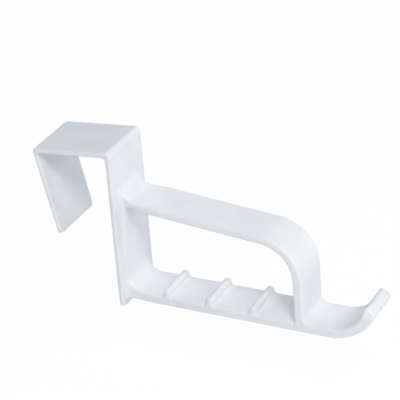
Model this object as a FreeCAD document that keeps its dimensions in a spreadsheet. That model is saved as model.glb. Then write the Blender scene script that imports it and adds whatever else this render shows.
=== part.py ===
"""An over-door hook: one white moulded piece, a spring clip that drops over the top of a door and a
narrower loop of strip in front of it, with three ribs on its bar and an upturned end.

Millimetres and degrees. +Z is up, +X points away from the door into the room, and Y runs along the
door. The origin is the middle of the clip's underside, where the top edge of the door carries it.
"""

import FreeCAD
import Part

import math
import os

import Sketcher
from FreeCAD import Vector

SIZES = {
    # Clip: rear leg, top plate and front plate, one strip bent twice
    "door_gap": 40.0,
    "clip_width": 34.5,
    "clip_thick": 2.8,
    "rear_thick": 2.4,
    "top_fall": 4.8,
    "rear_lean": 11.7,
    "rear_reach": 46.7,
    "plate_drop": 85.5,
    "front_round": 2.6,
    "rear_round": 2.0,
    "gap_round": 2.4,
    "foot_round": 2.6,
    # Loop: sloping arm, bend, leg and level bar
    "loop_width": 24.9,
    "arm_drop": 24.3,
    "arm_slope": 5.1,
    "arm_thick": 4.1,
    "leg_reach": 100.3,
    "leg_thick": 5.0,
    "bar_drop": 82.5,
    "bar_thick": 4.9,
    "bend_outer_round": 23.4,
    "bend_inner_round": 18.4,
    "arm_root_round": 8.8,
    "bar_root_round": 9.0,
    "heel_round": 4.3,
    # Upturned end of the bar, thicker towards its tip
    "curl_inner_start": 13.6,
    "curl_inner_round": 20.1,
    "curl_inner_sweep": 81.0,
    "curl_outer_start": 12.5,
    "curl_outer_round": 28.6,
    "curl_outer_sweep": 69.3,
    "tip_round": 4.6,
    # Ribs across the bar
    "rib_count": 3,
    "rib_first": 22.9,
    "rib_pitch": 24.6,
    "rib_thick": 3.8,
    "rib_rise": 4.0,
    "rib_round": 1.7,
    # Rounded long edges, and how the loop runs into the front plate
    "edge_round": 0.85,
    "seat_depth": 0.1,
    "sink_depth": 1.4,
    "root_spare": 1.0,
    "rib_sink": 0.5,
}

# X of the front plate's room side
FACE = "(sizes.door_gap / 2 * cos(sizes.top_fall * 1 deg) + sizes.clip_thick)"
# Edges and corners are told apart to this distance
NEAR = 0.01

doc = FreeCAD.newDocument("over_door_hook")


def make_sheet():
    """One spreadsheet row for each size, with the size's name as its alias."""
    rows = doc.addObject("Spreadsheet::Sheet", "sizes")
    for row, (name, value) in enumerate(SIZES.items(), 1):
        rows.set(f"A{row}", name)
        rows.set(f"B{row}", str(value))
        rows.setAlias(f"B{row}", name)
    doc.recompute()
    return rows


sheet = make_sheet()


def size(name):
    return float(getattr(sheet, name))


def new_body(name):
    body = doc.addObject("PartDesign::Body", name)
    body.Label = name
    return body


def side_sketch(body, name):
    """A sketch in the body's XZ plane: its own x is +X and its own y is +Z."""
    plane = next(o for o in body.Origin.OriginFeatures if o.Role == "XZ_Plane")
    sketch = body.newObject("Sketcher::SketchObject", name)
    sketch.AttachmentSupport = [(plane, "")]
    sketch.MapMode = "FlatFace"
    return sketch


def add_line(sketch, start, end):
    return sketch.addGeometry(Part.LineSegment(Vector(*start, 0), Vector(*end, 0)), False)


def add_arc(sketch, middle, radius, sweep):
    """An arc that starts below its centre and curls up towards +X."""
    circle = Part.Circle(Vector(*middle, 0), Vector(0, 0, 1), radius)
    return sketch.addGeometry(Part.ArcOfCircle(circle, -math.pi / 2, sweep - math.pi / 2), False)


def relate(sketch, kind, *where):
    sketch.addConstraint(Sketcher.Constraint(kind, *where))


def chain(sketch, lines):
    """Joins the end of each line to the start of the next."""
    for first, second in zip(lines, lines[1:]):
        relate(sketch, "Coincident", first, 2, second, 1)


def lines_through(sketch, corners):
    """A closed outline of straight lines, given back in order."""
    lines = [add_line(sketch, a, b) for a, b in zip(corners, corners[1:] + corners[:1])]
    chain(sketch, lines + lines[:1])
    return lines


def bind(sketch, kind, *where, to, start):
    """A dimension tied to an expression of the sizes; start is what it measures as first drawn."""
    number = sketch.addConstraint(Sketcher.Constraint(kind, *where, start))
    sketch.setExpression(f"Constraints[{number}]", to)


def pad_across(body, sketch, name, width):
    """A pad to both sides of the sketch, so that the body stays centred on Y = 0."""
    pad = body.newObject("PartDesign::Pad", name)
    pad.Profile = sketch
    pad.SideType = "Symmetric"
    pad.setExpression("Length", width)
    doc.recompute()
    return pad


def corner(sketch, edge, end):
    point = sketch.getPoint(edge, end)
    return Vector(point.x, 0, point.y)


def across_at(*corners):
    """Picks the edges that run along Y through these corners of the side view."""
    def pick(edge):
        ends = [v.Point for v in edge.Vertexes]
        if len(ends) < 2 or abs(ends[0].x - ends[1].x) > NEAR or abs(ends[0].z - ends[1].z) > NEAR:
            return False
        return any(math.hypot(ends[0].x - c.x, ends[0].z - c.z) < NEAR for c in corners)
    return pick


def is_sharp(shape, edge):
    """True where the two faces beside an edge don't already run smoothly into each other."""
    middle = edge.valueAt((edge.FirstParameter + edge.LastParameter) / 2)
    first, second = (face.normalAt(*face.Surface.parameter(middle))
                     for face in shape.ancestorsOfType(edge, Part.Face))
    return first.getAngle(second) > NEAR


def round_edges(body, name, radius, pick):
    base = body.Tip
    edges = [f"Edge{n}" for n, edge in enumerate(base.Shape.Edges, 1)
             if pick(edge) and is_sharp(base.Shape, edge)]
    fillet = body.newObject("PartDesign::Fillet", name)
    fillet.Base = (base, edges)
    fillet.setExpression("Radius", radius)
    doc.recompute()
    return fillet


def side_edges(half_width, keep=lambda edge: True):
    """Picks the edges that lie in either side face, or those of them that keep picks too."""
    def pick(edge):
        middle = edge.valueAt((edge.FirstParameter + edge.LastParameter) / 2)
        points = [middle] + [v.Point for v in edge.Vertexes]
        return all(abs(abs(p.y) - half_width) < NEAR for p in points) and keep(edge)
    return pick


def between(corners):
    """Picks the edges whose ends are both at some of these corners of the side view."""
    def pick(edge):
        return all(any(math.hypot(v.X - c.x, v.Z - c.z) < NEAR for c in corners) for v in edge.Vertexes)
    return pick


def front_face():
    """X of the front plate's room side, as the sheet's FACE works it out."""
    return size("door_gap") / 2 * math.cos(math.radians(size("top_fall"))) + size("clip_thick")


def make_clip():
    """Rear leg, top plate and front plate. The top plate falls to the rear and the rear leg leans in
    under it, so the clip springs open over the door while the front plate hangs plumb."""
    body = new_body("clip")
    sketch = side_sketch(body, "clip_side")
    gap, thick, back = size("door_gap"), size("clip_thick"), size("rear_thick")
    fall, lean = math.radians(size("top_fall")), math.radians(size("rear_lean"))
    inner_front = (gap / 2 * math.cos(fall), gap / 2 * math.sin(fall))
    inner_rear = (-inner_front[0], -inner_front[1])
    foot, reach = -size("plate_drop"), size("rear_reach")
    tip = (inner_rear[0] + reach * math.sin(lean), inner_rear[1] - reach * math.cos(lean))
    under, face, sole, front, top, outside, end, rear = lines_through(sketch, [
        inner_rear,
        inner_front,
        (inner_front[0], foot),
        (inner_front[0] + thick, foot),
        (inner_front[0] + thick, inner_front[1] + thick),
        (inner_rear[0] - back, inner_rear[1] + thick),
        (tip[0] - back * math.cos(lean), tip[1] - back * math.sin(lean)),
        tip,
    ])
    relate(sketch, "Symmetric", under, 1, under, 2, -1, 1)
    relate(sketch, "Vertical", face)
    relate(sketch, "Horizontal", sole)
    relate(sketch, "Vertical", front)
    relate(sketch, "Parallel", top, under)
    relate(sketch, "Parallel", outside, rear)
    relate(sketch, "Perpendicular", end, rear)
    bind(sketch, "Distance", under, to="sizes.door_gap", start=gap)
    bind(sketch, "Angle", under, to="sizes.top_fall * 1 deg", start=fall)
    bind(sketch, "Angle", rear, 2, under, 1, to="(90 - sizes.rear_lean + sizes.top_fall) * 1 deg",
         start=math.pi / 2 - lean + fall)
    bind(sketch, "DistanceY", -1, 1, face, 2, to="-sizes.plate_drop", start=foot)
    bind(sketch, "Distance", rear, to="sizes.rear_reach", start=reach)
    bind(sketch, "Distance", sole, to="sizes.clip_thick", start=thick)
    bind(sketch, "Distance", top, 1, under, to="sizes.clip_thick", start=thick)
    bind(sketch, "Distance", end, to="sizes.rear_thick", start=back)
    pad_across(body, sketch, "clip_strip", "sizes.clip_width")

    half = size("clip_width") / 2
    ends = [corner(sketch, line, n) for line in (sole, end) for n in (1, 2)]
    round_edges(body, "front_bend", "sizes.front_round", across_at(corner(sketch, front, 2)))
    round_edges(body, "rear_bend", "sizes.rear_round", across_at(corner(sketch, top, 2)))
    round_edges(body, "gap_bends", "sizes.gap_round",
                across_at(corner(sketch, under, 1), corner(sketch, under, 2)))
    round_edges(body, "foot_corners", "sizes.foot_round", side_edges(half, between(ends)))
    along, over = side_edges(half), across_at(*ends)
    round_edges(body, "clip_edges", "sizes.edge_round", lambda edge: along(edge) or over(edge))
    return body


def add_ribs(body, floor):
    """Upright ribs across the bar, each with a rounded top."""
    sketch = side_sketch(body, "rib_side")
    middle, half = front_face() + size("rib_first"), size("rib_thick") / 2
    low, high = floor - size("rib_sink"), floor + size("rib_rise")
    left, top, right, base = lines_through(sketch, [
        (middle - half, low),
        (middle - half, high),
        (middle + half, high),
        (middle + half, low),
    ])
    for line in (left, right):
        relate(sketch, "Vertical", line)
    for line in (top, base):
        relate(sketch, "Horizontal", line)
    over = "-sizes.bar_drop + sizes.bar_thick"
    bind(sketch, "DistanceX", -1, 1, left, 1, to=f"{FACE} + sizes.rib_first - sizes.rib_thick / 2",
         start=middle - half)
    bind(sketch, "DistanceX", left, 2, right, 1, to="sizes.rib_thick", start=2 * half)
    bind(sketch, "DistanceY", -1, 1, left, 1, to=f"{over} - sizes.rib_sink", start=low)
    bind(sketch, "DistanceY", -1, 1, left, 2, to=f"{over} + sizes.rib_rise", start=high)
    rib = pad_across(body, sketch, "rib", "sizes.loop_width")

    row = body.newObject("PartDesign::LinearPattern", "rib_row")
    row.Originals = [rib]
    row.Direction = (next(o for o in body.Origin.OriginFeatures if o.Role == "X_Axis"), [""])
    row.Mode = "Spacing"
    row.setExpression("Offset", "sizes.rib_pitch")
    row.setExpression("Occurrences", "sizes.rib_count")
    body.Tip = row
    doc.recompute()

    places = [middle + n * size("rib_pitch") for n in range(round(size("rib_count")))]
    tops = [Vector(x + side * half, 0, high) for x in places for side in (-1, 1)]
    round_edges(body, "rib_tops", "sizes.rib_round", across_at(*tops))


def make_loop():
    """Arm, bend, leg, level bar and upturned end: a ring of strip that runs into the front plate, with
    the bar carried on past the leg and curled up. Three ribs cross the bar."""
    body = new_body("loop")
    sketch = side_sketch(body, "loop_side")
    slope = math.radians(size("arm_slope"))
    face = front_face()
    back, seat, leg = face - size("sink_depth"), face - size("seat_depth"), face + size("leg_reach")
    under, arm, thick = -size("bar_drop"), -size("arm_drop"), size("bar_thick")
    over, head = under + thick, arm + size("arm_root_round") + size("root_spare")
    bend = (leg, arm - size("leg_reach") * math.tan(slope))
    inner_start, inner_radius = leg + size("curl_inner_start"), size("curl_inner_round")
    outer_start, outer_radius = leg + size("curl_outer_start"), size("curl_outer_round")
    inner_sweep, outer_sweep = math.radians(size("curl_inner_sweep")), math.radians(size("curl_outer_sweep"))

    spine = add_line(sketch, (back, under), (back, head))
    cap = add_line(sketch, (back, head), (seat, head))
    root = add_line(sketch, (seat, head), (seat, arm))
    arm_top = add_line(sketch, (seat, arm), bend)
    leg_front = add_line(sketch, bend, (leg, over))
    bar_top = add_line(sketch, (leg, over), (inner_start, over))
    inner = add_arc(sketch, (inner_start, over + inner_radius), inner_radius, inner_sweep)
    outer = add_arc(sketch, (outer_start, under + outer_radius), outer_radius, outer_sweep)
    inner_tip, outer_tip = (tuple(sketch.getPoint(arc, 2))[:2] for arc in (inner, outer))
    tip = add_line(sketch, inner_tip, outer_tip)
    bar_under = add_line(sketch, (outer_start, under), (back, under))
    chain(sketch, [spine, cap, root, arm_top, leg_front, bar_top])
    relate(sketch, "Tangent", bar_top, 2, inner, 1)
    relate(sketch, "Coincident", inner, 2, tip, 1)
    relate(sketch, "Coincident", tip, 2, outer, 2)
    relate(sketch, "Tangent", bar_under, 1, outer, 1)
    relate(sketch, "Coincident", bar_under, 2, spine, 1)
    for line in (spine, root, leg_front):
        relate(sketch, "Vertical", line)
    for line in (cap, bar_top, bar_under):
        relate(sketch, "Horizontal", line)
    bind(sketch, "DistanceX", -1, 1, spine, 1, to=f"{FACE} - sizes.sink_depth", start=back)
    bind(sketch, "DistanceX", -1, 1, root, 2, to=f"{FACE} - sizes.seat_depth", start=seat)
    bind(sketch, "DistanceY", -1, 1, root, 2, to="-sizes.arm_drop", start=arm)
    bind(sketch, "Distance", root, to="sizes.arm_root_round + sizes.root_spare", start=head - arm)
    bind(sketch, "Angle", arm_top, to="-sizes.arm_slope * 1 deg", start=-slope)
    bind(sketch, "DistanceX", -1, 1, leg_front, 1, to=f"{FACE} + sizes.leg_reach", start=leg)
    bind(sketch, "DistanceY", -1, 1, bar_under, 2, to="-sizes.bar_drop", start=under)
    bind(sketch, "DistanceY", bar_under, 1, bar_top, 2, to="sizes.bar_thick", start=thick)
    for arc, name, start, radius, sweep in ((inner, "curl_inner", inner_start, inner_radius, inner_sweep),
                                            (outer, "curl_outer", outer_start, outer_radius, outer_sweep)):
        bind(sketch, "DistanceX", leg_front, 2, arc, 3, to=f"sizes.{name}_start", start=start - leg)
        bind(sketch, "Radius", arc, to=f"sizes.{name}_round", start=radius)
        bind(sketch, "Angle", arc, to=f"sizes.{name}_sweep * 1 deg", start=sweep)

    low = arm - size("arm_thick") / math.cos(slope)
    inside = leg - size("leg_thick")
    hole_back, arm_under, leg_back, hole_floor = lines_through(sketch, [
        (seat, over),
        (seat, low),
        (inside, low - (inside - seat) * math.tan(slope)),
        (inside, over),
    ])
    relate(sketch, "Vertical", hole_back)
    relate(sketch, "Parallel", arm_under, arm_top)
    relate(sketch, "Vertical", leg_back)
    relate(sketch, "Horizontal", hole_floor)
    relate(sketch, "Vertical", hole_back, 1, root, 2)
    relate(sketch, "Horizontal", hole_back, 1, bar_top, 1)
    bind(sketch, "Distance", arm_under, 1, arm_top, to="sizes.arm_thick", start=size("arm_thick"))
    bind(sketch, "DistanceX", leg_back, 2, leg_front, 2, to="sizes.leg_thick", start=size("leg_thick"))
    pad_across(body, sketch, "loop_strip", "sizes.loop_width")

    corners = {
        "arm_root": [corner(sketch, root, 2)],
        "bend_inner": [corner(sketch, arm_under, 2)],
        "bend_outer": [corner(sketch, arm_top, 2)],
        "bar_root": [corner(sketch, hole_back, 1)],
        "heel": [corner(sketch, leg_front, 2)],
    }
    tips = [corner(sketch, tip, 1), corner(sketch, tip, 2)]
    add_ribs(body, corner(sketch, bar_top, 1).z)
    for name, places in corners.items():
        round_edges(body, name, f"sizes.{name}_round", across_at(*places))
    half = size("loop_width") / 2
    round_edges(body, "tip_corners", "sizes.tip_round", side_edges(half, between(tips)))
    outside = side_edges(half, lambda edge: max(v.X for v in edge.Vertexes) > face)
    round_edges(body, "loop_edges", "sizes.edge_round", outside)
    return body


def check(objects):
    """Stops the build at a failed feature or a bad solid."""
    for thing in objects:
        bad = {"Invalid", "Error"} & set(thing.State)
        if bad:
            raise RuntimeError(f"{thing.Name} is {bad}")
        solid = thing.isDerivedFrom("PartDesign::Feature") or thing in (clip, loop, hook)
        if solid and (thing.Shape.isNull() or not thing.Shape.isValid()):
            raise RuntimeError(f"{thing.Name} has no sound shape")


clip = make_clip()
loop = make_loop()
hook = doc.addObject("Part::MultiFuse", "door_hook")
hook.Label = "door_hook"
hook.Shapes = [clip, loop]
hook.Refine = True
hook.Placement = FreeCAD.Placement()
doc.recompute()

check(doc.Objects)
if len(hook.Shape.Solids) != 1:
    raise RuntimeError("the hook is not one piece")
os.makedirs("parts", exist_ok=True)
hook.Shape.exportStep(f"parts/{hook.Label}.step")
print(f"{hook.Label}: {hook.Shape.Volume / 1000:.2f} cm3, {len(hook.Shape.Faces)} faces")
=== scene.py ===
import math

import bmesh
import bpy
from mathutils import Euler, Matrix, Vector


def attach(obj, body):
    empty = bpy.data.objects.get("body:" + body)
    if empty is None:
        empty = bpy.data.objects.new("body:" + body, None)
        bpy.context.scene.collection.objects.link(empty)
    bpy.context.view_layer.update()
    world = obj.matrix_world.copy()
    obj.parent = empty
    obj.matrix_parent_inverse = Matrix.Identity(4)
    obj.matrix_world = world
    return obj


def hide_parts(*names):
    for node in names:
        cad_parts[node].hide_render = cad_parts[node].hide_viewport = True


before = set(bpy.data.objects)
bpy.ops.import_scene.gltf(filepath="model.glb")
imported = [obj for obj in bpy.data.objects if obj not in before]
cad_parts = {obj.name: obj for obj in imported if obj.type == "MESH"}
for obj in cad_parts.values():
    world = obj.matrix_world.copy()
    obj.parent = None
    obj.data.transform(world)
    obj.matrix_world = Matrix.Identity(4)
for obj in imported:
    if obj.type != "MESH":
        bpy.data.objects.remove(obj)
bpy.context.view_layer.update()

mm = 0.001

# Over-door hook in one white moulding: a spring clip for the top of a door, a flat loop in front of it
# with three ribs on its bar, and an upturned end. X points away from the door, Z is up, Y runs along it.


def addNode(tree, kind, inputs=None, **settings):
    node = tree.nodes.new(kind)
    for name, value in settings.items():
        setattr(node, name, value)
    for name, value in (inputs or {}).items():
        if isinstance(value, bpy.types.NodeSocket):
            tree.links.new(value, node.inputs[name])
        else:
            node.inputs[name].default_value = value
    return node


def newTree(name, inputs, outputs=(("Geometry", "NodeSocketGeometry"),)):
    tree = bpy.data.node_groups.new(name, "GeometryNodeTree")
    for side, sockets in (("INPUT", inputs), ("OUTPUT", outputs)):
        for label, kind in sockets:
            tree.interface.new_socket(label, in_out=side, socket_type=kind)
    return tree, tree.nodes.new("NodeGroupInput").outputs, tree.nodes.new("NodeGroupOutput").inputs


def linear(hexCode):
    parts = [int(hexCode[i:i + 2], 16) / 255 for i in (1, 3, 5)]
    return [c / 12.92 if c <= 0.04045 else ((c + 0.055) / 1.055) ** 2.4 for c in parts] + [1]


# The side view is drawn as corners: x, z and the radius that rounds the corner, all in mm.
clip = {
    "gap": 40.0,            # along the underside of the top plate
    "width": 34.5,
    "frontThick": 2.8,
    "rearThick": 2.4,
    "topFall": 4.8,         # degrees, towards the rear
    "rearLean": 11.7,       # degrees, inwards
    "rearReach": 46.7,
    "plateDrop": 85.5,
    "frontRound": 2.6,
    "rearRound": 2.0,
    "gapRound": 2.4,
    "creaseRound": 0.6,     # the rear inner corner is nearly sharp
    "edgeRound": 1.08,      # nearly half of the rear leg's thickness, so its long edges look soft
    "endRound": 1.12,       # rims of the two free ends
    "cornerRound": 2.6,     # corners of the two free ends, seen from the front
}

fall, lean = math.radians(clip["topFall"]), math.radians(clip["rearLean"])
frontX, frontZ = clip["gap"] / 2 * math.cos(fall), clip["gap"] / 2 * math.sin(fall)
faceX = frontX + clip["frontThick"]
down = Vector((math.sin(lean), -math.cos(lean)))      # along the rear leg
away = Vector((-math.cos(lean), -math.sin(lean)))     # out of its back
rearIn = Vector((-frontX, -frontZ))
rearOut = rearIn + away * clip["rearThick"]
topRise = clip["frontThick"] / math.cos(fall)
toTop = (rearOut.x * math.tan(fall) + topRise - rearOut.y) / (down.y - down.x * math.tan(fall))
rearTop = rearOut + down * toTop
rearEnd = rearIn + down * clip["rearReach"]

clipCorners = [
    (*rearIn, clip["creaseRound"]),
    (frontX, frontZ, clip["gapRound"]),
    (frontX, -clip["plateDrop"], clip["endRound"]),
    (faceX, -clip["plateDrop"], clip["endRound"]),
    (faceX, faceX * math.tan(fall) + topRise, clip["frontRound"]),
    (*rearTop, clip["rearRound"]),
    (*(rearEnd + away * clip["rearThick"]), clip["endRound"]),
    (*rearEnd, clip["endRound"]),
]

loop = {
    "width": 24.9,
    "sink": 2.75,           # how deep its back lies in the front plate
    "seat": 0.1,            # how far in the plate the upper root's fillet ends
    "headRise": 1.0,        # of the part in the plate, above that fillet
    "headRound": 1.3,
    "spineTop": 2.2,        # its back member stands proud of the plate, less so towards the bar
    "spineFoot": 0.4,
    "armDrop": 24.3,
    "armSlope": 5.1,        # degrees, down and away from the door
    "armThick": 4.1,
    "legReach": 100.3,
    "legThick": 5.0,
    "barDrop": 82.5,
    "barThick": 4.9,
    "bendOuter": 23.4,
    "bendInner": 18.4,
    "armRoot": 8.8,         # fillets where the arm and the bar leave the plate
    "barRoot": 9.0,
    "heel": 4.3,            # fillet on the outside of the leg's foot
    "toe": 0.8,             # small fillets in the other corners of the hole
    "edgeRound": 1.25,
    "seamBlend": 2.2,       # radius of the hollow between its sides and the plate
    "armWaist": 2.0,        # how much narrower each side is at the plate
    "barWaist": 0.6,
    "waistLength": 17.0,
}

curl = {
    "innerStart": 13.6,     # from the leg's face to where each arc begins
    "innerRadius": 19.6,
    "innerSweep": 84.0,
    "outerStart": 12.5,
    "outerRadius": 28.6,
    "outerSweep": 69.3,
    "endRound": 2.6,
    "cornerRound": 5.5,
    "step": 3.5,            # degrees between the arcs' points, at most
    "outerClear": 3,        # points at each arc's end that make way for the tip's rounded corners
    "innerClear": 4,
}

slope = math.radians(loop["armSlope"])
backX, seatX, legX = faceX - loop["sink"], faceX - loop["seat"], faceX + loop["legReach"]
underZ, armZ = -loop["barDrop"], -loop["armDrop"]
overZ, headZ = underZ + loop["barThick"], armZ + loop["armRoot"] + loop["headRise"]
innerX = legX - loop["legThick"]
lowZ = armZ - loop["armThick"] / math.cos(slope)


def arcPoints(startX, startZ, radius, sweep):
    count = math.ceil(sweep / curl["step"])
    turns = [math.radians(sweep * n / count - 90) for n in range(count + 1)]
    return [(startX + radius * math.cos(t), startZ + radius + radius * math.sin(t), 0) for t in turns]


outerArc = arcPoints(legX + curl["outerStart"], underZ, curl["outerRadius"], curl["outerSweep"])
innerArc = arcPoints(legX + curl["innerStart"], overZ, curl["innerRadius"], curl["innerSweep"])
tipOuter, tipInner = Vector(outerArc[-1][:2]), Vector(innerArc[-1][:2])

loopCorners = [
    (backX, underZ, loop["headRound"]),
    *outerArc[:-curl["outerClear"]],
    (*tipOuter, curl["endRound"]),
    (*tipInner, curl["endRound"]),
    *reversed(innerArc[:-curl["innerClear"]]),
    (legX, overZ, loop["heel"]),
    (legX, armZ - loop["legReach"] * math.tan(slope), loop["bendOuter"]),
    (seatX, armZ, loop["armRoot"]),
    (seatX, headZ, loop["headRound"]),
    (backX, headZ, loop["headRound"]),
]
holeCorners = [
    (faceX + loop["spineFoot"], overZ, loop["barRoot"]),
    (faceX + loop["spineTop"], lowZ, loop["toe"]),
    (innerX, lowZ - (innerX - seatX) * math.tan(slope), loop["bendInner"]),
    (innerX, overZ, loop["toe"]),
]

sideView = bpy.data.curves.new("sideView", "CURVE")
for corners in (clipCorners, loopCorners, holeCorners):
    spline = sideView.splines.new("POLY")
    spline.points.add(len(corners) - 1)
    spline.use_cyclic_u = True
    for point, (x, z, radius) in zip(spline.points, corners):
        point.co = (x * mm, z * mm, 0, 1)
        point.radius = radius * mm
print("side view drawn")

# The ribs' corners go into the outline of the hole, so that they grow out of the bar.
ribs = {
    "Rib Count": 3,
    "First Rib": (faceX + 22.9) * mm,
    "Rib Pitch": 24.6 * mm,
    "Rib Thickness": 3.8 * mm,
    "Rib Height": 4.0 * mm,
    "Top Radius": 1.7 * mm,
    "Foot Radius": 1.2 * mm,
    "End Slope": 0.8 * mm,  # how far each end of the crest is drawn in from the bar's side
}

ribTree, given, result = newTree("ribsOnBar", [
    ("Outline", "NodeSocketGeometry"), ("Bar Height", "NodeSocketFloat"), ("Rib Count", "NodeSocketInt"),
    *((name, "NodeSocketFloat") for name in list(ribs)[1:-1])])
half = addNode(ribTree, "ShaderNodeMath", {0: given["Rib Thickness"], 1: 0.5}, operation="MULTIPLY")
lessHalf = addNode(ribTree, "ShaderNodeMath", {0: half.outputs[0], 1: -1.0}, operation="MULTIPLY")
points = []
ribHeight = given["Rib Height"]
for side, height in ((half, 0.0), (half, ribHeight), (lessHalf, ribHeight), (lessHalf, 0.0)):
    points.append(addNode(ribTree, "ShaderNodeCombineXYZ", {"X": side.outputs[0], "Y": height}).outputs[0])
ribShape = addNode(ribTree, "GeometryNodeCurvePrimitiveQuadrilateral",
                   {f"Point {n + 1}": point for n, point in enumerate(points)}, mode="POINTS")
ribPoints = addNode(ribTree, "GeometryNodeCurveToPoints", {"Curve": ribShape.outputs[0]}, mode="EVALUATED")
last = addNode(ribTree, "ShaderNodeMath", {0: given["Rib Count"], 1: 1.0}, operation="SUBTRACT")
lastX = addNode(ribTree, "ShaderNodeMath", {0: last.outputs[0], 1: given["Rib Pitch"], 2: given["First Rib"]},
                operation="MULTIPLY_ADD")
start = addNode(ribTree, "ShaderNodeCombineXYZ", {"X": lastX.outputs[0], "Y": given["Bar Height"]})
back = addNode(ribTree, "ShaderNodeMath", {0: given["Rib Pitch"], 1: -1.0}, operation="MULTIPLY")
offset = addNode(ribTree, "ShaderNodeCombineXYZ", {"X": back.outputs[0]})
places = addNode(ribTree, "GeometryNodeMeshLine", {
    "Count": given["Rib Count"], "Start Location": start.outputs[0],
    "Offset": offset.outputs[0]}, mode="OFFSET")
row = addNode(ribTree, "GeometryNodeInstanceOnPoints", {
    "Points": places.outputs[0], "Instance": ribPoints.outputs[0]})
row = addNode(ribTree, "GeometryNodeRealizeInstances", {"Geometry": row.outputs[0]})
number = addNode(ribTree, "GeometryNodeInputIndex").outputs[0]
# of each rib's four corners, the middle two are its top
corner = addNode(ribTree, "ShaderNodeMath", {0: number, 1: 4.0}, operation="MODULO")
fromTop = addNode(ribTree, "ShaderNodeMath", {0: corner.outputs[0], 1: 1.5, 2: 0.6}, operation="COMPARE")
radius = addNode(ribTree, "ShaderNodeMix", {
    "Factor": fromTop.outputs[0], "A": given["Foot Radius"], "B": given["Top Radius"]}).outputs["Result"]
# the ribs' points get higher numbers than the hole's own, and one curve is drawn through all of them in order
late = addNode(ribTree, "ShaderNodeMath", {0: number, 1: 100.0}, operation="ADD")
base = addNode(ribTree, "GeometryNodeCurveToPoints", {"Curve": given["Outline"]}, mode="EVALUATED")
ownRadius = addNode(ribTree, "GeometryNodeInputRadius").outputs[0]
for name, ribValue, baseValue in (("order", late.outputs[0], number), ("round", radius, ownRadius)):
    row = addNode(ribTree, "GeometryNodeStoreNamedAttribute", {
        "Geometry": row.outputs[0], "Name": name, "Value": ribValue})
    base = addNode(ribTree, "GeometryNodeStoreNamedAttribute", {
        "Geometry": base.outputs[0], "Name": name, "Value": baseValue})
every = addNode(ribTree, "GeometryNodeJoinGeometry", {"Geometry": base.outputs[0]})
ribTree.links.new(row.outputs[0], every.inputs[0])
order = addNode(ribTree, "GeometryNodeInputNamedAttribute", {"Name": "order"}, data_type="FLOAT")
rounds = addNode(ribTree, "GeometryNodeInputNamedAttribute", {"Name": "round"}, data_type="FLOAT")
outline = addNode(ribTree, "GeometryNodePointsToCurves", {
    "Points": every.outputs[0], "Weight": order.outputs[0]})
outline = addNode(ribTree, "GeometryNodeSetSplineCyclic", {"Geometry": outline.outputs[0], "Cyclic": True})
outline = addNode(ribTree, "GeometryNodeSetCurveRadius", {
    "Curve": outline.outputs[0], "Radius": rounds.outputs[0]})
ribTree.links.new(outline.outputs[0], result[0])

# A strip: the outline's corners are rounded, a rim profile is swept round it and both sides are filled.
stripTree, given, result = newTree("mouldedStrip", [
    ("Outline", "NodeSocketGeometry"), ("Width", "NodeSocketFloat"), ("Edge Radius", "NodeSocketFloat"),
    ("Step", "NodeSocketFloat")])
ownRadius = addNode(stripTree, "GeometryNodeInputRadius").outputs[0]
# a rounded corner is drawn in 6 steps, and one more for each mm of its radius
perCorner = addNode(stripTree, "ShaderNodeMath", {0: ownRadius, 1: 1 / mm, 2: 6.0}, operation="MULTIPLY_ADD")
outline = addNode(stripTree, "GeometryNodeFilletCurve", {
    "Curve": given["Outline"], "Radius": ownRadius, "Count": perCorner.outputs[0],
    "Limit Radius": True}, mode="POLY")
here = addNode(stripTree, "GeometryNodeInputPosition").outputs[0]
nextPoint = addNode(stripTree, "GeometryNodeOffsetPointInCurve", {"Offset": 1})
there = addNode(stripTree, "GeometryNodeFieldAtIndex", {
    "Index": nextPoint.outputs["Point Index"], "Value": here}, data_type="FLOAT_VECTOR")
length = addNode(stripTree, "ShaderNodeVectorMath", {0: here, 1: there.outputs[0]}, operation="DISTANCE")
cuts = addNode(stripTree, "ShaderNodeMath", {
    0: length.outputs["Value"], 1: given["Step"]}, operation="DIVIDE").outputs[0]
outline = addNode(stripTree, "GeometryNodeSubdivideCurve", {"Curve": outline.outputs[0], "Cuts": cuts})
outline = addNode(stripTree, "GeometryNodeSetCurveRadius", {"Curve": outline.outputs[0], "Radius": 1.0})
outline = addNode(stripTree, "GeometryNodeSetCurveNormal", {"Curve": outline.outputs[0]}, mode="Z_UP")

half = addNode(stripTree, "ShaderNodeMath", {0: given["Width"], 1: 0.5}, operation="MULTIPLY").outputs[0]
lessHalf = addNode(stripTree, "ShaderNodeMath", {0: half, 1: -1.0}, operation="MULTIPLY").outputs[0]
# a hair's breadth of flat beside the rounding keeps the side faces' shading flat
inset = addNode(stripTree, "ShaderNodeMath", {
    0: given["Edge Radius"], 1: -1.02}, operation="MULTIPLY").outputs[0]
points = []
for x, y in ((inset, lessHalf), (0.0, lessHalf), (0.0, half), (inset, half)):
    points.append(addNode(stripTree, "ShaderNodeCombineXYZ", {"X": x, "Y": y}).outputs[0])
rim = addNode(stripTree, "GeometryNodeCurvePrimitiveQuadrilateral",
              {f"Point {n + 1}": point for n, point in enumerate(points)}, mode="POINTS")
rim = addNode(stripTree, "GeometryNodeSetSplineCyclic", {"Geometry": rim.outputs[0], "Cyclic": False})
# each quarter circle of the rim is drawn in 6 steps
rim = addNode(stripTree, "GeometryNodeFilletCurve", {
    "Curve": rim.outputs[0], "Radius": given["Edge Radius"], "Count": 6, "Limit Radius": True}, mode="POLY")
rim = addNode(stripTree, "GeometryNodeSubdivideCurve", {"Curve": rim.outputs[0], "Cuts": cuts})
wall = addNode(stripTree, "GeometryNodeCurveToMesh", {
    "Curve": outline.outputs[0], "Profile Curve": rim.outputs[0]})

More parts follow.
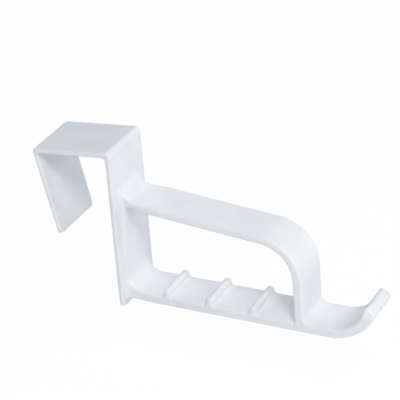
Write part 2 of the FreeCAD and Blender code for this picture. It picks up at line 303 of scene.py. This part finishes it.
normal = addNode(stripTree, "GeometryNodeInputNormal").outputs[0]
inwards = addNode(stripTree, "ShaderNodeVectorMath", {
    0: normal, "Scale": inset}, operation="SCALE").outputs[0]
inner = addNode(stripTree, "GeometryNodeSetPosition", {"Geometry": outline.outputs[0], "Offset": inwards})
side = addNode(stripTree, "GeometryNodeFillCurve", {"Curve": inner.outputs[0]})
solid = addNode(stripTree, "GeometryNodeJoinGeometry", {"Geometry": wall.outputs[0]})
for distance in (half, lessHalf):
    shift = addNode(stripTree, "ShaderNodeCombineXYZ", {"Z": distance}).outputs[0]
    placed = addNode(stripTree, "GeometryNodeTransform", {
        "Geometry": side.outputs[0], "Translation": shift}).outputs[0]
    if distance == lessHalf:
        placed = addNode(stripTree, "GeometryNodeFlipFaces", {"Mesh": placed}).outputs[0]
    stripTree.links.new(placed, solid.inputs[0])
solid = addNode(stripTree, "GeometryNodeMergeByDistance", {"Geometry": solid.outputs[0], "Distance": 1e-6})
stripTree.links.new(solid.outputs[0], result[0])

# A free end: points near it move in towards the middle along a quarter circle, which rounds its corners.
endTree, given, result = newTree("roundedEnd", [
    ("Strip", "NodeSocketGeometry"), ("End", "NodeSocketVector"), ("Outwards", "NodeSocketVector"),
    ("Radius", "NodeSocketFloat"), ("Width", "NodeSocketFloat"), ("Reach", "NodeSocketFloat")])
here = addNode(endTree, "GeometryNodeInputPosition").outputs[0]
flat = addNode(endTree, "ShaderNodeVectorMath", {0: here, 1: (1, 1, 0)}, operation="MULTIPLY").outputs[0]
near = addNode(endTree, "ShaderNodeVectorMath", {
    0: flat, 1: given["End"]}, operation="DISTANCE").outputs["Value"]
isNear = addNode(endTree, "FunctionNodeCompare", {
    "A": near, "B": given["Reach"]}, data_type="FLOAT", operation="LESS_THAN")
toEnd = addNode(endTree, "ShaderNodeVectorMath", {0: given["End"], 1: flat}, operation="SUBTRACT").outputs[0]
depth = addNode(endTree, "ShaderNodeVectorMath", {
    0: toEnd, 1: given["Outwards"]}, operation="DOT_PRODUCT").outputs["Value"]
share = addNode(endTree, "ShaderNodeMath", {0: depth, 1: given["Radius"]}, operation="DIVIDE").outputs[0]
share = addNode(endTree, "ShaderNodeMath", {
    0: 1.0, 1: share}, operation="SUBTRACT", use_clamp=True).outputs[0]
square = addNode(endTree, "ShaderNodeMath", {0: share, 1: share}, operation="MULTIPLY").outputs[0]
square = addNode(endTree, "ShaderNodeMath", {
    0: 1.0, 1: square}, operation="SUBTRACT", use_clamp=True).outputs[0]
circle = addNode(endTree, "ShaderNodeMath", {0: square}, operation="SQRT").outputs[0]
circle = addNode(endTree, "ShaderNodeMath", {0: 1.0, 1: circle}, operation="SUBTRACT").outputs[0]
narrowing = addNode(endTree, "ShaderNodeMath", {
    0: given["Radius"], 1: circle}, operation="MULTIPLY").outputs[0]
half = addNode(endTree, "ShaderNodeMath", {0: given["Width"], 1: 0.5}, operation="MULTIPLY").outputs[0]
scale = addNode(endTree, "ShaderNodeMath", {0: narrowing, 1: half}, operation="DIVIDE").outputs[0]
scale = addNode(endTree, "ShaderNodeMath", {0: 1.0, 1: scale}, operation="SUBTRACT").outputs[0]
stretch = addNode(endTree, "ShaderNodeCombineXYZ", {"X": 1.0, "Y": 1.0, "Z": scale}).outputs[0]
moved = addNode(endTree, "ShaderNodeVectorMath", {0: here, 1: stretch}, operation="MULTIPLY").outputs[0]
strip = addNode(endTree, "GeometryNodeSetPosition", {
    "Geometry": given["Strip"], "Selection": isNear.outputs[0], "Position": moved})
endTree.links.new(strip.outputs[0], result[0])

# The ribs' ends: above the bar, points between the first and last rib are drawn in towards the middle.
slopeTree, given, result = newTree("slopedRibEnds", [
    ("Strip", "NodeSocketGeometry"), ("Width", "NodeSocketFloat"), ("Bar Height", "NodeSocketFloat"),
    ("First Rib", "NodeSocketFloat"), ("Rib Count", "NodeSocketInt"), ("Rib Pitch", "NodeSocketFloat"),
    ("Rib Height", "NodeSocketFloat"), ("End Slope", "NodeSocketFloat")])
here = addNode(slopeTree, "GeometryNodeInputPosition").outputs[0]
split = addNode(slopeTree, "ShaderNodeSeparateXYZ", {"Vector": here}).outputs
last = addNode(slopeTree, "ShaderNodeMath", {0: given["Rib Count"], 1: 1.0}, operation="SUBTRACT").outputs[0]
span = addNode(slopeTree, "ShaderNodeMath", {0: last, 1: given["Rib Pitch"]}, operation="MULTIPLY").outputs[0]
midX = addNode(slopeTree, "ShaderNodeMath", {
    0: span, 1: 0.5, 2: given["First Rib"]}, operation="MULTIPLY_ADD").outputs[0]
# 5 mm past the middle of the first and last rib there is only the bar
reach = addNode(slopeTree, "ShaderNodeMath", {
    0: span, 1: 0.5, 2: 5 * mm}, operation="MULTIPLY_ADD").outputs[0]
inRow = addNode(slopeTree, "ShaderNodeMath", {
    0: split["X"], 1: midX, 2: reach}, operation="COMPARE").outputs[0]
rise = addNode(slopeTree, "ShaderNodeMath", {
    0: split["Y"], 1: given["Bar Height"]}, operation="SUBTRACT").outputs[0]
share = addNode(slopeTree, "ShaderNodeMath", {0: rise, 1: given["Rib Height"]}, operation="DIVIDE").outputs[0]
# from just above the bar's top to the crest
onRib = addNode(slopeTree, "ShaderNodeMath", {0: share, 1: 0.505, 2: 0.5}, operation="COMPARE").outputs[0]
chosen = addNode(slopeTree, "FunctionNodeBooleanMath", {0: inRow, 1: onRib}, operation="AND").outputs[0]
share = addNode(slopeTree, "ShaderNodeMath", {0: share, 1: 0.0}, operation="MAXIMUM").outputs[0]
drawIn = addNode(slopeTree, "ShaderNodeMath", {
    0: share, 1: given["End Slope"]}, operation="MULTIPLY").outputs[0]
half = addNode(slopeTree, "ShaderNodeMath", {0: given["Width"], 1: 0.5}, operation="MULTIPLY").outputs[0]
scale = addNode(slopeTree, "ShaderNodeMath", {0: drawIn, 1: half}, operation="DIVIDE").outputs[0]
scale = addNode(slopeTree, "ShaderNodeMath", {0: 1.0, 1: scale}, operation="SUBTRACT").outputs[0]
stretch = addNode(slopeTree, "ShaderNodeCombineXYZ", {"X": 1.0, "Y": 1.0, "Z": scale}).outputs[0]
moved = addNode(slopeTree, "ShaderNodeVectorMath", {0: here, 1: stretch}, operation="MULTIPLY").outputs[0]
strip = addNode(slopeTree, "GeometryNodeSetPosition", {
    "Geometry": given["Strip"], "Selection": chosen, "Position": moved})
slopeTree.links.new(strip.outputs[0], result[0])

# The whole hook: the clip and the loop become one skin, turned upright.
hookTree, given, result = newTree("overDoorHook", [
    ("Side View", "NodeSocketGeometry"), ("Clip Width", "NodeSocketFloat"), ("Loop Width", "NodeSocketFloat"),
    ("Clip Edges", "NodeSocketFloat"), ("Loop Edges", "NodeSocketFloat"), ("Step", "NodeSocketFloat"),
    ("Bar Height", "NodeSocketFloat"),
    ("Rib Count", "NodeSocketInt"), *((name, "NodeSocketFloat") for name in list(ribs)[1:]),
    ("Plastic", "NodeSocketMaterial")])
which = addNode(hookTree, "GeometryNodeInputIndex").outputs[0]
parts = []
rest = given["Side View"]
for n in (2.0, 1.0):        # curve 2 is the loop's hole, 1 its outside and 0 the clip
    isThis = addNode(hookTree, "ShaderNodeMath", {0: which, 1: n, 2: 0.1}, operation="COMPARE").outputs[0]
    split = addNode(hookTree, "GeometryNodeSeparateGeometry", {
        "Geometry": rest, "Selection": isThis}, domain="CURVE")
    parts.append(split.outputs["Selection"])
    rest = split.outputs["Inverted"]
hole, outside = parts
ribbed = addNode(hookTree, "GeometryNodeGroup", node_tree=ribTree)
hookTree.links.new(hole, ribbed.inputs["Outline"])
for name in ("Bar Height", *list(ribs)[:-1]):
    hookTree.links.new(given[name], ribbed.inputs[name])
ring = addNode(hookTree, "GeometryNodeJoinGeometry", {"Geometry": outside})
hookTree.links.new(ribbed.outputs[0], ring.inputs[0])

strips = []
endReach = 1.8              # radii around the middle of an end within which its points move
for outline, width, edges, ends in (
    (rest, "Clip Width", "Clip Edges", [
        (Vector(((frontX + faceX) / 2, -clip["plateDrop"])), Vector((0, -1)), clip["cornerRound"]),
        (rearEnd + away * clip["rearThick"] / 2, down, clip["cornerRound"])]),
    (ring.outputs[0], "Loop Width", "Loop Edges", [
        ((tipOuter + tipInner) / 2, (tipOuter - tipInner).orthogonal().normalized(), curl["cornerRound"])]),
):
    strip = addNode(hookTree, "GeometryNodeGroup", node_tree=stripTree)
    for socket, value in (("Outline", outline), ("Width", given[width]), ("Edge Radius", given[edges]),
                          ("Step", given["Step"])):
        hookTree.links.new(value, strip.inputs[socket])
    for end, outwards, radius in ends:
        rounded = addNode(hookTree, "GeometryNodeGroup", node_tree=endTree)
        hookTree.links.new(strip.outputs[0], rounded.inputs["Strip"])
        hookTree.links.new(given[width], rounded.inputs["Width"])
        rounded.inputs["End"].default_value = (end.x * mm, end.y * mm, 0)
        rounded.inputs["Outwards"].default_value = (outwards.x, outwards.y, 0)
        rounded.inputs["Radius"].default_value = radius * mm
        rounded.inputs["Reach"].default_value = radius * endReach * mm
        strip = rounded
    if width == "Loop Width":
        sloped = addNode(hookTree, "GeometryNodeGroup", node_tree=slopeTree)
        hookTree.links.new(strip.outputs[0], sloped.inputs["Strip"])
        hookTree.links.new(given[width], sloped.inputs["Width"])
        for name in ("Bar Height", "First Rib", "Rib Count", "Rib Pitch", "Rib Height", "End Slope"):
            hookTree.links.new(given[name], sloped.inputs[name])
        strip = sloped
    strips.append(strip.outputs[0])
whole = addNode(hookTree, "GeometryNodeMeshBoolean", operation="UNION", solver="EXACT")
for strip in strips:
    hookTree.links.new(strip, whole.inputs["Mesh 2"])
upright = addNode(hookTree, "GeometryNodeTransform", {
    "Geometry": whole.outputs[0], "Rotation": Euler((math.pi / 2, 0, 0))})
upright = addNode(hookTree, "GeometryNodeRealizeInstances", {"Geometry": upright.outputs[0]})
painted = addNode(hookTree, "GeometryNodeSetMaterial", {
    "Geometry": upright.outputs[0], "Material": given["Plastic"]})
hookTree.links.new(painted.outputs[0], result[0])
print("trees built")

whitePlastic = {
    "hex": "#E9ECEE",
    "thickHex": "#E5E9EB",  # where the white is a touch greyer
    "cloud": 14.0,          # mm, size of those patches
    "roughness": (0.36, 0.48),
    "ior": 1.49,
    "ripple": 7.0,          # mm, slow waves left as the walls cool and shrink
    "rippleDepth": 0.05,
    "grain": 0.9,           # mm; the mould's satin grain is about 0.1 mm, drawn coarser so that it shows
    "grainDepth": 0.012,
}


# Injection-moulded polypropylene: an even, slightly cool white with a soft satin sheen. Broad ripples
# break the sheen up on the flat walls, the fine grain takes the mirror out of it, and the white is never
# quite even.
def makePlastic(finish):
    material = bpy.data.materials.new("injectionMouldedPolypropylene")
    material.use_nodes = True
    tree = material.node_tree
    tree.nodes.clear()
    where = addNode(tree, "ShaderNodeTexCoord").outputs["Object"]

    def noise(size, detail):
        return addNode(tree, "ShaderNodeTexNoise", {
            "Vector": where, "Scale": 1 / (size * mm), "Detail": detail}).outputs[0]

    cloud = noise(finish["cloud"], 1.0)
    ripple = noise(finish["ripple"], 0.0)
    grain = noise(finish["grain"], 2.0)
    patches = addNode(tree, "ShaderNodeMapRange", {
        "Value": cloud, "From Min": 0.35, "From Max": 0.65}).outputs["Result"]
    white = addNode(tree, "ShaderNodeMix", {"Factor": patches}, data_type="RGBA")
    white.inputs["A"].default_value = linear(finish["hex"])
    white.inputs["B"].default_value = linear(finish["thickHex"])
    satin = addNode(tree, "ShaderNodeMapRange", {
        "Value": grain, "From Min": 0.3, "From Max": 0.7, "To Min": finish["roughness"][0],
        "To Max": finish["roughness"][1]}).outputs["Result"]
    waves = addNode(tree, "ShaderNodeBump", {
        "Height": ripple, "Strength": 1.0, "Distance": finish["rippleDepth"] * mm})
    grains = addNode(tree, "ShaderNodeBump", {
        "Height": grain, "Strength": 1.0, "Distance": finish["grainDepth"] * mm, "Normal": waves.outputs[0]})
    shader = addNode(tree, "ShaderNodeBsdfPrincipled", {
        "Base Color": white.outputs["Result"], "Roughness": satin, "IOR": finish["ior"],
        "Normal": grains.outputs[0]})
    addNode(tree, "ShaderNodeOutputMaterial", {"Surface": shader.outputs[0]})
    return material


plastic = makePlastic(whitePlastic)

draft = bpy.data.objects.new("draft", sideView)
bpy.context.scene.collection.objects.link(draft)
modifier = draft.modifiers.new("hook", "NODES")
modifier.node_group = hookTree
settings = {
    "Clip Width": clip["width"] * mm,
    "Loop Width": loop["width"] * mm,
    "Clip Edges": clip["edgeRound"] * mm,
    "Loop Edges": loop["edgeRound"] * mm,
    "Step": 1.2 * mm,       # longest edge along the outlines
    "Bar Height": overZ * mm,
    **ribs,
    "Plastic": plastic,
}
for item in hookTree.interface.items_tree:
    if item.in_out == "INPUT" and item.name in settings:
        modifier[item.identifier] = settings[item.name]
depsgraph = bpy.context.evaluated_depsgraph_get()
hookMesh = bpy.data.meshes.new_from_object(draft.evaluated_get(depsgraph))
bpy.data.objects.remove(draft)
hookMesh.name = "hookMoulding"


# Where the loop meets the front plate its sides are a little narrower and a hollow blends them into it.
fineEdge, coarseEdge = 0.9 * mm, 2.5 * mm      # longest edges in the hollow and on the rest of the waist
halvings = 6


def blendRoots(mesh):
    skin = bmesh.new()
    skin.from_mesh(mesh)
    half, face = loop["width"] / 2 * mm, faceX * mm
    hollow, length = loop["seamBlend"] * mm, loop["waistLength"] * mm

    def atRoot(point):
        return face - 1e-6 < point.co.x < face + length and abs(point.co.y) < half + 1e-6

    def tooLong(edge):
        inHollow = min(v.co.x for v in edge.verts) < face + hollow
        return all(map(atRoot, edge.verts)) and edge.calc_length() > (fineEdge if inHollow else coarseEdge)

    for _ in range(halvings):      # long edges are halved until the mesh can follow the curve
        bmesh.ops.triangulate(skin, faces=[f for f in skin.faces if len(f.verts) > 3])
        edges = [e for e in skin.edges if tooLong(e)]
        if not edges:
            break
        bmesh.ops.subdivide_edges(skin, edges=edges, cuts=1)
    for point in skin.verts:
        if atRoot(point):
            depth = point.co.x - face
            share = min(max(1 - depth / hollow, 0), 1)
            out = hollow * (1 - math.sqrt(1 - share ** 2))
            along, height = 1 - depth / length, (point.co.z / mm - underZ) / (armZ - underZ)
            waist = loop["barWaist"] + (loop["armWaist"] - loop["barWaist"]) * min(height, 1)
            out -= waist * mm * along ** 2 * (3 - 2 * along)      # starts and ends smoothly
            point.co.y *= 1 + out / half
    skin.to_mesh(mesh)
    skin.free()


blendRoots(hookMesh)
hook = bpy.data.objects.new("hookMoulding", hookMesh)
bpy.context.scene.collection.objects.link(hook)
hookMesh.shade_smooth()
hookMesh.set_sharp_from_angle(angle=math.radians(35))      # the seam at the plate stays crisp
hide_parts("door_hook")
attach(hook, "root")
print("hook moulded:", len(hookMesh.vertices), "points")

studio = {
    "floorHex": "#F4F4F4",
    "floorSize": 6.0,       # metres
    "floorZ": -125 * mm,
    "floorWhite": 0.96,     # how far the camera sees the floor as plain white; the rest keeps the shadow
    "worldHex": "#E9F5FF",
    "worldLeft": 0.335,     # the room is a little darker on the door's side
    "worldRight": 0.532,
    "lampHex": "#FFF6F2",
}


# Matt white paper: no sheen, so that only the hook's faint shadow shows on it.
def makeFloorMaterial():
    material = bpy.data.materials.new("paperSweep")
    material.use_nodes = True
    tree = material.node_tree
    tree.nodes.clear()
    paper = addNode(tree, "ShaderNodeBsdfDiffuse", {"Color": linear(studio["floorHex"])})
    glow = addNode(tree, "ShaderNodeEmission", {"Color": (1, 1, 1, 1), "Strength": 1.0})
    ray = addNode(tree, "ShaderNodeLightPath").outputs["Is Camera Ray"]
    share = addNode(tree, "ShaderNodeMath", {
        0: ray, 1: studio["floorWhite"]}, operation="MULTIPLY").outputs[0]
    both = addNode(tree, "ShaderNodeMixShader", {0: share, 1: paper.outputs[0], 2: glow.outputs[0]})
    addNode(tree, "ShaderNodeOutputMaterial", {"Surface": both.outputs[0]})
    return material


floorMesh = bpy.data.meshes.new("floor")
reach = studio["floorSize"] / 2
corners = [(x * reach, y * reach, studio["floorZ"]) for x, y in ((-1, -1), (1, -1), (1, 1), (-1, 1))]
floorMesh.from_pydata(corners, [], [(0, 1, 2, 3)])
floor = bpy.data.objects.new("floor", floorMesh)
floorMesh.materials.append(makeFloorMaterial())
bpy.context.scene.collection.objects.link(floor)

world = bpy.data.worlds.new("studio")
bpy.context.scene.world = world
world.use_nodes = True
tree = world.node_tree
tree.nodes.clear()
towards = addNode(tree, "ShaderNodeTexCoord").outputs["Generated"]
sideways = addNode(tree, "ShaderNodeSeparateXYZ", {"Vector": towards}).outputs["X"]
glow = addNode(tree, "ShaderNodeMapRange", {
    "Value": sideways, "From Min": -1.0, "To Min": studio["worldLeft"], "To Max": studio["worldRight"]})
soft = addNode(tree, "ShaderNodeBackground", {
    "Color": linear(studio["worldHex"]), "Strength": glow.outputs["Result"]})
white = addNode(tree, "ShaderNodeBackground", {"Color": (1, 1, 1, 1), "Strength": 1.0})
ray = addNode(tree, "ShaderNodeLightPath").outputs["Is Camera Ray"]
mixed = addNode(tree, "ShaderNodeMixShader", {0: ray, 1: soft.outputs[0], 2: white.outputs[0]})
addNode(tree, "ShaderNodeOutputWorld", {"Surface": mixed.outputs[0]})

# Azimuth turns from +X towards -Y, where the camera stands, and elevation goes up, both in degrees. The
# other values are in metres and watts.
lamps = {
    "keySoftbox": {"azimuth": 44, "elevation": 48.5, "distance": 1.0, "size": 0.3, "power": 3.85},
    "frontSoftbox": {"azimuth": 90, "elevation": 45, "distance": 1.0, "size": 0.9, "power": 1.7},
    "sideSoftbox": {"azimuth": -30, "elevation": 15, "distance": 1.0, "size": 0.6, "power": 1.95},
    "backSoftbox": {"azimuth": -100, "elevation": 38, "distance": 1.0, "size": 0.8, "power": 1.39},
    "nearCard": {"azimuth": 30, "elevation": 5, "distance": 0.35, "size": 0.2, "power": 0.115},
}
middle = Vector((66.7, -6.1, -19.4)) * mm      # the lamps stand round this point, just above the arm
for name, lamp in lamps.items():
    light = bpy.data.lights.new(name, "AREA")
    light.shape = "DISK"
    light.size = lamp["size"]
    light.energy = lamp["power"]
    light.color = linear(studio["lampHex"])[:3]
    turn, rise = math.radians(lamp["azimuth"]), math.radians(lamp["elevation"])
    towards = Vector((math.cos(rise) * math.cos(turn), -math.cos(rise) * math.sin(turn), math.sin(rise)))
    stand = bpy.data.objects.new(name, light)
    stand.location = middle + towards * lamp["distance"]
    stand.rotation_euler = towards.to_track_quat("Z", "Y").to_euler()
    bpy.context.scene.collection.objects.link(stand)
print("studio lit")

view = {
    "lens": 169.4,                          # mm on a 36 mm wide sensor
    "place": (463.33, -739.82, 424.80),     # mm
    "turn": (61.888, 4.057, 26.231),        # degrees
}
camera = bpy.data.cameras.new("camera")
camera.lens = view["lens"]
camera.sensor_width = 36
camera.clip_end = 20
cameraObject = bpy.data.objects.new("camera", camera)
cameraObject.location = Vector(view["place"]) * mm
cameraObject.rotation_euler = [math.radians(angle) for angle in view["turn"]]
bpy.context.scene.collection.objects.link(cameraObject)
bpy.context.scene.camera = cameraObject
bpy.context.scene.view_settings.view_transform = "Standard"
print("camera placed")
